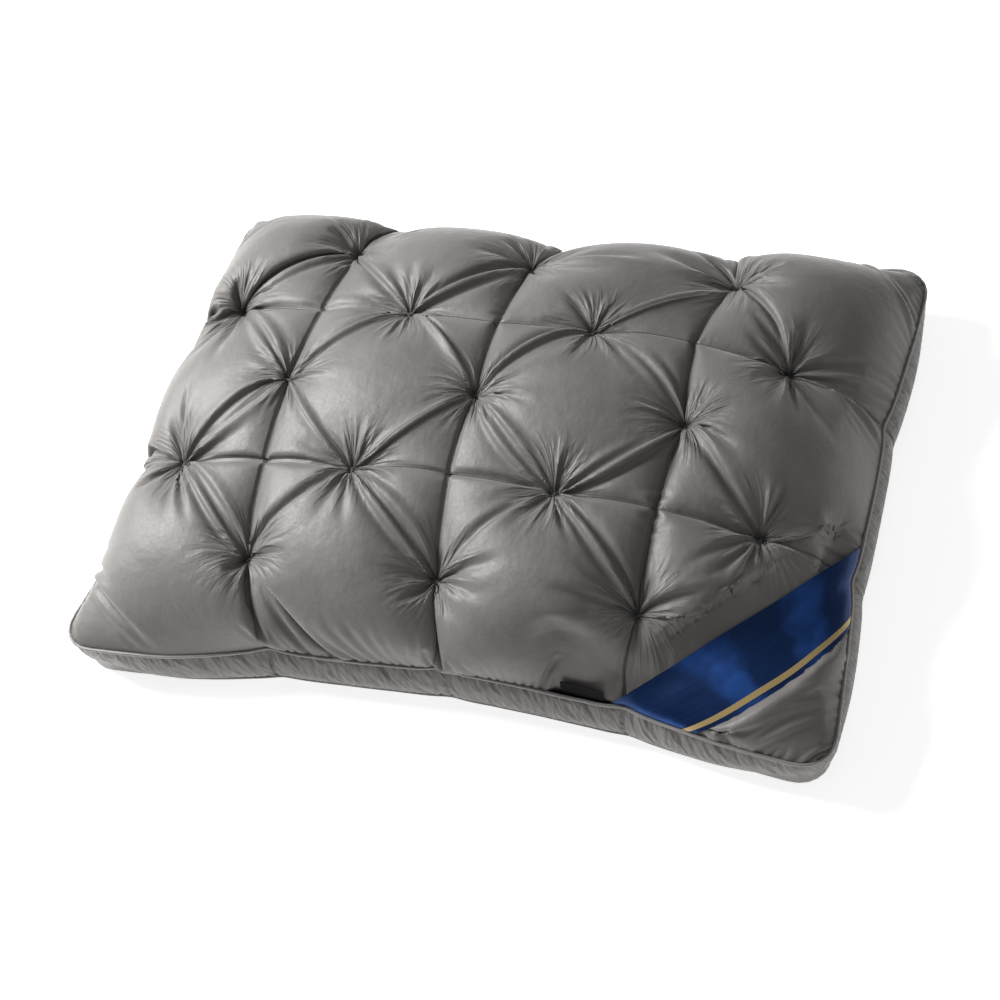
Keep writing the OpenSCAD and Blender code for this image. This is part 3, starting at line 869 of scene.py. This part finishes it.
# %% Shader arithmetic
class Value:
    """A shader socket that can be used in sums."""

    def __init__(self, tree, socket):
        self.tree, self.socket = tree, socket

    def math(self, operation, *others, clamp=False):
        node = self.tree.nodes.new("ShaderNodeMath")
        node.operation, node.use_clamp = operation, clamp
        for slot_in, value in zip(node.inputs, (self, *others)):
            if isinstance(value, Value):
                self.tree.links.new(value.socket, slot_in)
            else:
                slot_in.default_value = value
        return Value(self.tree, node.outputs[0])

    def __add__(self, other):
        return self.math("ADD", other)

    def __sub__(self, other):
        return self.math("SUBTRACT", other)

    def __rsub__(self, other):
        return (self * -1.0) + other

    def __mul__(self, other):
        return self.math("MULTIPLY", other)

    def __pow__(self, other):
        return self.math("POWER", other)

    __radd__, __rmul__ = __add__, __mul__

    def between(self, low, high):
        """0 below low, 1 above high, smooth in between."""
        node = self.tree.nodes.new("ShaderNodeMapRange")
        node.interpolation_type = "SMOOTHSTEP"
        node.inputs["From Min"].default_value = low
        node.inputs["From Max"].default_value = high
        self.tree.links.new(self.socket, node.inputs["Value"])
        return Value(self.tree, node.outputs[0])


class Finish:
    """A material in the making."""

    def __init__(self, name, **plain):
        self.material = bpy.data.materials.new(name)
        self.material.use_nodes = True
        self.tree = self.material.node_tree
        self.shader = self.tree.nodes["Principled BSDF"]
        for socket, value in plain.items():
            self.shader.inputs[socket.replace("_", " ")].default_value = value
        cloth = self.node("ShaderNodeTexCoord", {}, {}, "UV")
        self.cloth = self.node("ShaderNodeVectorMath", {"operation": "SCALE"}, {0: cloth, 3: 1000.0})
        place = self.node("ShaderNodeTexCoord", {}, {}, "Object")
        self.place = self.node("ShaderNodeVectorMath", {"operation": "SCALE"}, {0: place, 3: 1000.0})

    def node(self, kind, settings, sockets, output=0):
        made = self.tree.nodes.new(kind)
        for key, value in settings.items():
            setattr(made, key, value)
        for key, value in sockets.items():
            if isinstance(value, Value):
                self.tree.links.new(value.socket, made.inputs[key])
            else:
                made.inputs[key].default_value = value
        return Value(self.tree, made.outputs[output])

    def noise(self, size, detail=3.0, stretch=(1, 1, 1), of=None, rough=0.55):
        """Cloudy variation with features about size millimetres wide."""
        moved = self.node("ShaderNodeVectorMath", {"operation": "MULTIPLY"},
                          {0: of or self.place, 1: tuple(1.0 / (size * s) for s in stretch)})
        return self.node("ShaderNodeTexNoise", {}, {"Vector": moved, "Scale": 1.0, "Detail": detail,
                                                    "Roughness": rough})

    def ribs(self, spacing, slant=0.0, warp=0.0):
        """Threads or ribs across the cloth, as a wave from 0 to 1."""
        turned = self.node("ShaderNodeVectorRotate", {"rotation_type": "Z_AXIS"},
                           {"Vector": self.cloth, "Angle": math.radians(slant)})
        return self.node("ShaderNodeTexWave", {"bands_direction": "X"},
                         {"Vector": turned, "Scale": 2 * math.pi / (20 * spacing), "Distortion": warp,
                          "Detail": 1.0, "Detail Scale": 2.0}, 1)

    def colour(self, low, high, share):
        return self.node("ShaderNodeMix", {"data_type": "RGBA"}, {0: share, 6: (*low, 1), 7: (*high, 1)}, 2)

    def set(self, **varying):
        for socket, value in varying.items():
            self.tree.links.new(value.socket, self.shader.inputs[socket.replace("_", " ")])

    def bump(self, height, depth, strength=1.0):
        """Raises the surface by height times depth millimetres."""
        made = self.node("ShaderNodeBump", {}, {"Height": height, "Distance": depth * MM,
                                                "Strength": strength})
        self.set(Normal=made)

    def on(self, *objects):
        for thing in objects:
            thing.data.materials.append(self.material)


# %% [markdown]
# ### Folds too small for the cloth's own points
# Every point of the top knows its direction and distance from the nearest tuft, and how far it is from
# the nearest quilting seam, so the finish can draw fine gathers round the tufts and along the seams, and
# paint shade into the tuft pits and along the seam lines.

# %% Where folds run
NEXT_TUFT = 3.7


def mark_folds():
    """Stores each point's direction from its nearest tuft, and its distances from tuft and seams."""
    mesh = quilted_top.data
    at = np.zeros(3 * len(mesh.vertices))
    mesh.vertices.foreach_get("co", at)
    at = at.reshape(-1, 3)[:, :2] / MM
    away = at[:, None, :] - tuft_xy
    far = np.hypot(away[..., 0], away[..., 1])
    near = far.argmin(1)
    rows_of = np.arange(len(at))
    away, far = away[rows_of, near], far[rows_of, near]
    way = away / np.maximum(far, 0.1)[:, None]
    spoke = np.c_[way, near * NEXT_TUFT]
    from_cross = np.abs(top_uv[:, :1] - seam_u).min(1)
    from_long = np.abs(top_uv[:, 1:] - seam_v).min(1)
    spread = np.stack([far, from_cross, from_long], -1)
    for name, values in (("Spoke", spoke), ("Spread", spread)):
        layer = mesh.attributes.new(name, "FLOAT_VECTOR", "POINT")
        layer.data.foreach_set("vector", values.ravel())


seam_u = np.cumsum(cut_x)[:-1] - flat_l / 2
seam_v = np.cumsum(cut_y)[:-1] - flat_w / 2
mark_folds()

# %% [markdown]
# ### Brushed microfibre
# The face is a slate grey microfibre satin: a fine filling weave brushed to a short nap. It has a broad,
# soft shine, a slight drift in tone, and small creases from handling that run every way.

# %% Microfibre
# share of the dark tone used for the painted shade in the tuft pits and along the seams
PAINTED_SHADE_SHARE = 0.3


def microfibre(name, dark, light, crease=1.0, folds=None):
    """The cloth's finish. Folds, if any, give a height and a mask of painted shade that darkens the cloth in
    them.
    """
    made = Finish(name, Sheen_Weight=0.25, Sheen_Roughness=0.42, Specular_IOR_Level=0.42)
    made.shader.inputs["Sheen Tint"].default_value = (0.93, 0.91, 0.89, 1)
    drift = made.noise(70, 2.0)
    nap = made.noise(3.2, 4.0, (1, 1, 1), made.cloth)
    weave = made.ribs(0.55, 2.0, 0.6) * 0.5 + made.ribs(0.5, 91.0, 0.6) * 0.5
    small = made.noise(16, 5.0, (1, 1, 1), made.cloth, 0.5)
    fine = made.noise(5, 3.0, (1, 1.6, 1), made.cloth)
    height = small * (0.9 * crease) + fine * (0.22 * crease) + weave * 0.05
    tone = made.colour(dark, light, drift.between(0.3, 0.7) * 0.55 + nap * 0.35 + weave * 0.1)
    if folds is not None:
        deeper, shade = folds(made)
        height = height + deeper
        if shade is not None:
            # painted shade: the colour is mixed towards a darker tone in the tuft pits and along the seams
            painted_shade_colour = tuple(PAINTED_SHADE_SHARE * part for part in dark)
            tone = made.node("ShaderNodeMix", {"data_type": "RGBA"}, {0: shade, 6: tone, 7: (*painted_shade_colour, 1)}, 2)
    made.set(Base_Color=tone, Roughness=nap.between(0.3, 0.7) * 0.10 + drift * 0.08 + 0.40)
    made.bump(height, 1.0, 0.8)
    return made


def tuft_gathers(made):
    """Sharp folds that fan out from each tuft, a groove along each seam, and painted shade in both."""
    spoke = made.node("ShaderNodeAttribute", {"attribute_name": "Spoke"}, {}, "Vector")
    spread = made.node("ShaderNodeAttribute", {"attribute_name": "Spread"}, {}, "Vector")
    parts = made.tree.nodes.new("ShaderNodeSeparateXYZ")
    made.tree.links.new(spread.socket, parts.inputs[0])
    far, from_cross, from_long = (Value(made.tree, o) for o in parts.outputs)
    drift = made.node("ShaderNodeCombineXYZ", {}, {0: far * 0.005, 1: far * 0.004, 2: far * 0.003})
    place = made.node("ShaderNodeVectorMath", {"operation": "ADD"}, {0: spoke, 1: drift})
    total = None
    for scale, depth, reach in ((3.6, 6.0, 60), (7.0, 2.8, 56), (14.0, 0.8, 40)):
        fold = made.node("ShaderNodeTexNoise", {}, {"Vector": place, "Scale": scale, "Detail": 1.0})
        ridge = (fold + -0.5).math("ABSOLUTE") * -2.0
        fade = (1.0 - far.between(4, reach)) * far.between(0, 7)
        part = ridge * fade * depth
        total = part if total is None else total + part
    for away, size, depth in ((from_cross, 4.5, 2.4), (from_long, 3.0, 1.0)):
        groove = 1.0 - away.between(0, size)
        total = total - groove * depth
    # painted shade: darker colour in the tuft pits and along the cross and lengthwise seams, where the
    # creases fall into shade
    pit_shade = 1.0 - far.between(1.5, 9)
    line = 1.0 - from_cross.between(0.3, 1.6)
    long_seam_shade = 1.0 - from_long.between(0.2, 1.2)
    shade = pit_shade.math("MAXIMUM", line * 0.75).math("MAXIMUM", long_seam_shade * 0.5)
    return total, shade


def band_puckers(made):
    """Slack in the band, taken up as slanting puckers as tall as the band."""
    turned = made.node("ShaderNodeVectorRotate", {"rotation_type": "Z_AXIS"},
                       {"Vector": made.cloth, "Angle": math.radians(-24)})
    slack = made.noise(17, 2.0, (1, 3.2, 1), turned)
    depth = (slack + -0.5).math("ABSOLUTE") * -16.0
    return depth, None


SLATE_DARK = (0.118, 0.1115, 0.1055)
SLATE_LIGHT = (0.178, 0.170, 0.162)
microfibre("slate_microfibre", SLATE_DARK, SLATE_LIGHT, 1.35, tuft_gathers).on(quilted_top)
microfibre("slate_microfibre_side", SLATE_DARK, SLATE_LIGHT, 1.3, band_puckers).on(side_band)
microfibre("slate_microfibre_base", SLATE_DARK, SLATE_LIGHT, 0.6).on(base_panel)

# %% [markdown]
# ### Piping, cord and thread
# The bias strip is a lighter satin than the face. Its ribs lie at 45 degrees to the edge.

# %% Piping finish
strip = Finish("silver_bias_satin", Sheen_Weight=0.3, Specular_IOR_Level=0.6)
rib = strip.ribs(0.9, 45.0, 0.4)
soil = strip.noise(40)
strip.set(Base_Color=strip.colour((0.15, 0.145, 0.14), (0.29, 0.28, 0.27), rib * 0.35 + soil * 0.65),
          Roughness=soil * 0.15 + 0.30)
strip.bump(rib, 0.12, 0.6)
strip.on(bpy.data.objects["upper_piping"], bpy.data.objects["lower_piping"])

cotton = Finish("cotton_cord", Sheen_Weight=0.2)
twist = cotton.ribs(1.6, 35.0, 0.5)
cotton.set(Base_Color=cotton.colour((0.55, 0.53, 0.48), (0.78, 0.76, 0.70), twist),
           Roughness=twist * 0.1 + 0.75)
cotton.bump(twist, 0.2)
cotton.on(bpy.data.objects["upper_piping_cord"], bpy.data.objects["lower_piping_cord"])

spun = Finish("spun_thread", Sheen_Weight=0.2)
ply = spun.ribs(0.5, 40.0)
spun.set(Base_Color=spun.colour((0.035, 0.034, 0.033), (0.085, 0.082, 0.079), ply),
         Roughness=ply * 0.1 + 0.55)
spun.bump(ply, 0.06)
spun.on(*[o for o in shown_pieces() if "stitches" in o.name or o.name == "tuft_ties"])

# %% [markdown]
# ### Ribbon, stripe and label
# The ribbon is a heavy royal blue satin. Its warp floats run along it, so the light spreads across it
# in streaks. Its colour carries painted highlights: bright patches in a wave along it and lengthwise
# streaks. The stripe is a lurex gold twill, and the label a plain black woven tape.

# %% Ribbon finish
satin = Finish("royal_satin", Specular_IOR_Level=0.5, Anisotropic=0.5)
# period and place of the painted highlight patches along the ribbon
HIGHLIGHT_PERIOD, HIGHLIGHT_AT = 88.0, 72.0
satin.shader.inputs["Specular Tint"].default_value = (0.3, 0.5, 1.0, 1)
streak_and_highlight = satin.noise(7, 3.0, (14, 0.35, 1), satin.cloth)
cloud = satin.noise(26, 2.0, (1.3, 1.0, 1), satin.cloth)
float_rib = satin.ribs(0.5, 90.0, 0.3)
parts = satin.tree.nodes.new("ShaderNodeSeparateXYZ")
satin.tree.links.new(satin.cloth.socket, parts.inputs[0])
along_ribbon = Value(satin.tree, parts.outputs[0])
# painted highlight: bright patches in a wave along the ribbon and in clouds, and lengthwise streaks, lighten
# the base colour and raise the metallic; the streaks also vary roughness and bump
highlight_wave = ((along_ribbon + -HIGHLIGHT_AT) * (2 * math.pi / HIGHLIGHT_PERIOD)).math("COSINE")
painted_highlight = (highlight_wave * 0.3 + cloud).between(0.40, 0.95)
satin.set(Base_Color=satin.colour((0.003, 0.010, 0.038), (0.024, 0.085, 0.330), painted_highlight * 0.75 + streak_and_highlight * 0.25),
          Roughness=streak_and_highlight * 0.12 + 0.30, Metallic=painted_highlight * 0.25 + 0.35)
satin.bump(cloud * 2.2 + streak_and_highlight * 0.10 + float_rib * 0.02, 1.0, 0.6)
satin.on(corner_ribbon)

lurex = Finish("old_gold_stripe", Specular_IOR_Level=0.6)
twill = lurex.ribs(0.7, 60.0)
fleck = lurex.noise(1.5)
lurex.set(Base_Color=lurex.colour((0.30, 0.21, 0.085), (0.62, 0.47, 0.21), twill * 0.5 + fleck * 0.5),
          Roughness=twill * 0.12 + 0.34, Metallic=fleck * 0.2 + 0.35)
lurex.bump(twill, 0.12, 0.6)
lurex.on(gold_stripe)

black = Finish("black_woven_tape", Specular_IOR_Level=0.1)
pick = black.ribs(0.6, 90.0) * 0.5 + black.ribs(0.6) * 0.5
black.set(Base_Color=black.colour((0.003, 0.003, 0.004), (0.010, 0.010, 0.011), pick),
          Roughness=pick * 0.15 + 0.7)
black.bump(pick, 0.12)
black.on(label_flap, label_foot)

# %% [markdown]
# ## Floor, light and camera
# A plain pale sweep and soft studio light. The main light is large and comes from the upper left, so
# the left sides of the tiles shine softly and the creases stay dark on their right.

# %% Stage
FLOOR_HALF = 6.0
floor_mesh = bpy.data.meshes.new("floor")
floor_mesh.from_pydata([(-FLOOR_HALF, -FLOOR_HALF, -0.0002), (FLOOR_HALF, -FLOOR_HALF, -0.0002),
                        (FLOOR_HALF, FLOOR_HALF, -0.0002), (-FLOOR_HALF, FLOOR_HALF, -0.0002)], [],
                       [(0, 1, 2, 3)])
floor = bpy.data.objects.new("floor", floor_mesh)
scene.collection.objects.link(floor)
paper = Finish("pale_paper", Specular_IOR_Level=0.1, Emission_Strength=0.72)
paper.shader.inputs["Emission Color"].default_value = (1, 1, 1, 1)
grain = paper.noise(30)
paper.set(Base_Color=paper.colour((0.86, 0.86, 0.86), (0.88, 0.88, 0.88), grain), Roughness=grain * 0.1 + 0.8)
paper.on(floor)

AZIMUTH, ELEVATION, ROLL = (math.radians(d) for d in (30.06, 55.62, -17.89))
DISTANCE = 1.8356
TARGET = np.array([0.0160, -0.0517, 0.0599])
LENS = 75.51
back = np.array([math.sin(AZIMUTH) * math.cos(ELEVATION), -math.cos(AZIMUTH) * math.cos(ELEVATION),
                 math.sin(ELEVATION)])
level = np.array([math.cos(AZIMUTH), math.sin(AZIMUTH), 0])
lift = np.cross(back, level)
to_right = level * math.cos(ROLL) + lift * math.sin(ROLL)
to_top = lift * math.cos(ROLL) - level * math.sin(ROLL)
eye = TARGET + back * DISTANCE
camera = bpy.data.objects.new("camera", bpy.data.cameras.new("camera"))
camera.data.lens = LENS
camera.data.sensor_width = 36
camera.matrix_world = Matrix([[*row, e] for row, e in zip(np.stack([to_right, to_top, back], 1), eye)]
                             + [[0, 0, 0, 1]])
scene.collection.objects.link(camera)
scene.camera = camera


def softbox(name, left, up, near, distance, size, watts):
    """A soft square light, placed by how far it is to the left, up and towards the viewer."""
    data = bpy.data.lights.new(name, "AREA")
    data.energy, data.size = watts, size
    light = bpy.data.objects.new(name, data)
    way = -to_right * left + to_top * up + back * near
    light.location = TARGET + way / np.linalg.norm(way) * distance
    light.rotation_euler = (Vector(TARGET) - light.location).to_track_quat("-Z", "Y").to_euler()
    scene.collection.objects.link(light)


softbox("key", 1.35, 0.9, 0.34, 1.7, 0.7, 51)
softbox("fill", -0.2, 0.5, 1.2, 3.0, 2.4, 4)
world = bpy.data.worlds.new("studio")
scene.world = world
world.use_nodes = True
world.node_tree.nodes["Background"].inputs["Color"].default_value = (1, 1, 1, 1)
world.node_tree.nodes["Background"].inputs["Strength"].default_value = 0.24
scene.view_settings.view_transform = "Standard"
